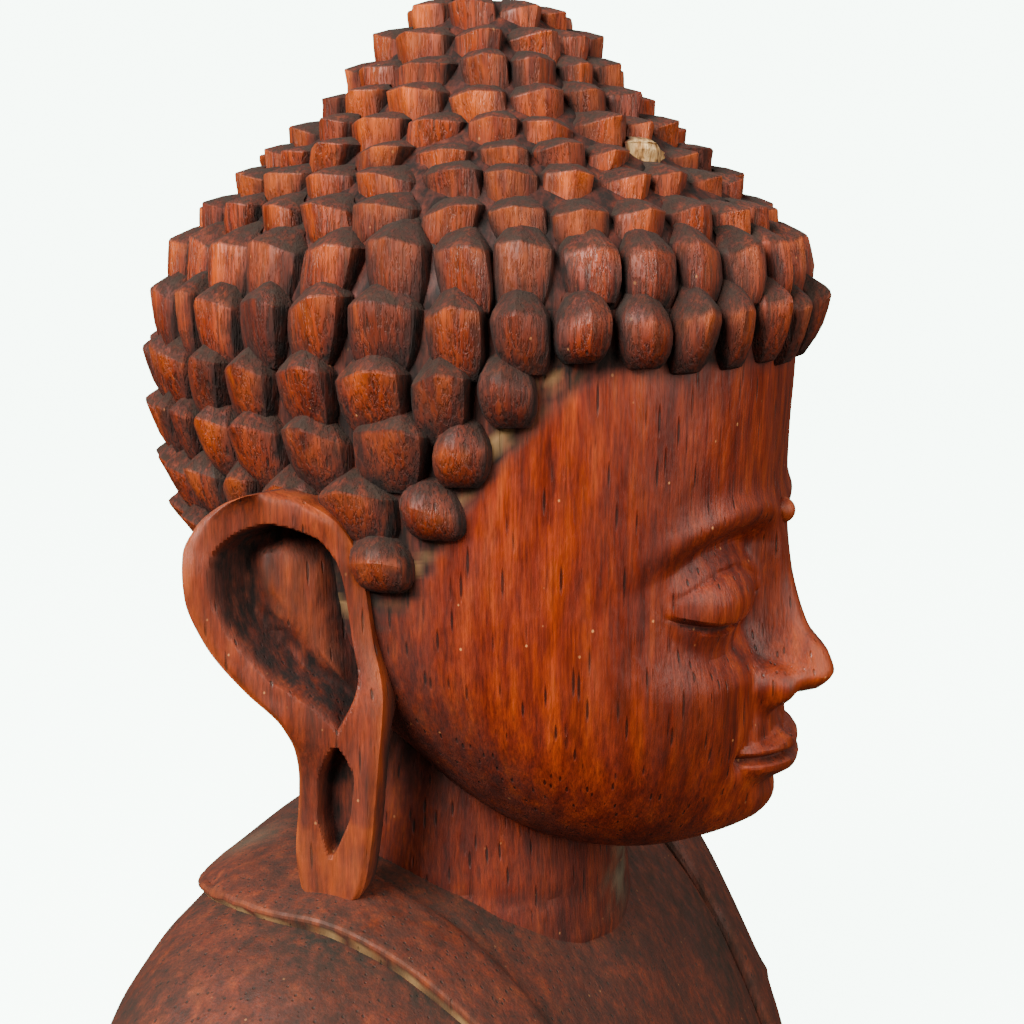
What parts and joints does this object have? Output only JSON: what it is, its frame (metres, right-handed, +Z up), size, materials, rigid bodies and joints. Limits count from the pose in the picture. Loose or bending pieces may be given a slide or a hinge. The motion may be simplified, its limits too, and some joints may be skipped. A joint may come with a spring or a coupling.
{
  "type": "buddha bust",
  "caption": "Carved wooden buddha bust with pointed curls in rings, a calm face, long ears and robed shoulders, cut flat below.",
  "frame": {"origin": "on the flat underside, straight below the head's own upright axis", "axes": "+Z up, the face looks along -Y, and the figure's left side is +X"},
  "size_m": [0.19, 0.1182, 0.2155],
  "materials": {
    "wood": "waxed, satin"
  },
  "bodies": {
    "root": {"bust": "wood"}
  },
  "joints": []
}
